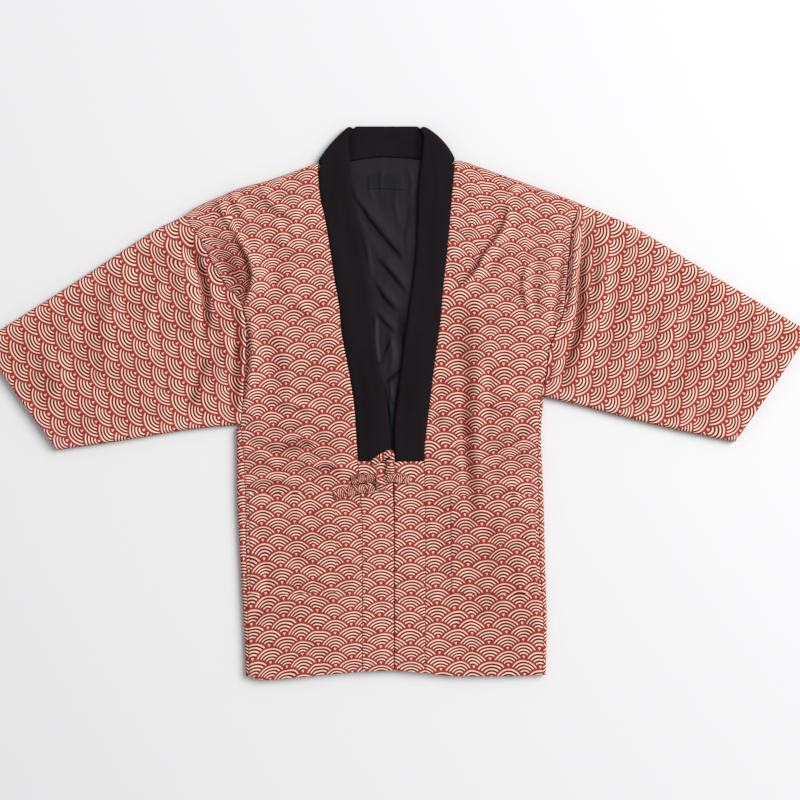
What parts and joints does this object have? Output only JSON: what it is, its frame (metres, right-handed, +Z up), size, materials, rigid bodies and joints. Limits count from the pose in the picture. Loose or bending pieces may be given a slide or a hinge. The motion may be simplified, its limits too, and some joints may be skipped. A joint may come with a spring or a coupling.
{
  "type": "hanten",
  "caption": "Padded hanten jacket laid flat, front up, with a black collar band, wide sleeves and a short cloth tie.",
  "frame": {"origin": "on the surface that the garment lies on, under the middle of its outline", "axes": "+Z up out of the surface, +Y towards the collar, +X towards the wearer's left sleeve"},
  "size_m": [1.3248, 0.8848, 0.0238],
  "materials": {
    "wave_cloth": "matt printed cotton, cream waves on brick red",
    "black_cloth": "matt napped cotton",
    "lining_cloth": "smooth with a soft sheen",
    "label_cloth": "smooth woven, bare"
  },
  "bodies": {
    "root": {"back": "wave_cloth", "right_front": "wave_cloth", "left_front": "wave_cloth", "right_sleeve": "wave_cloth", "left_sleeve": "wave_cloth", "right_gusset": "wave_cloth", "left_gusset": "wave_cloth", "right_band": "wave_cloth", "left_band": "wave_cloth", "right_pocket": "wave_cloth", "left_pocket": "wave_cloth", "tie_loop": "wave_cloth", "tie_post": "wave_cloth", "tie_knot": "wave_cloth", "tie_tail_upper": "wave_cloth", "tie_tail_lower": "wave_cloth", "tie_tail_left": "wave_cloth", "collar": "black_cloth", "back_lining": "lining_cloth", "label": "label_cloth"}
  },
  "joints": []
}
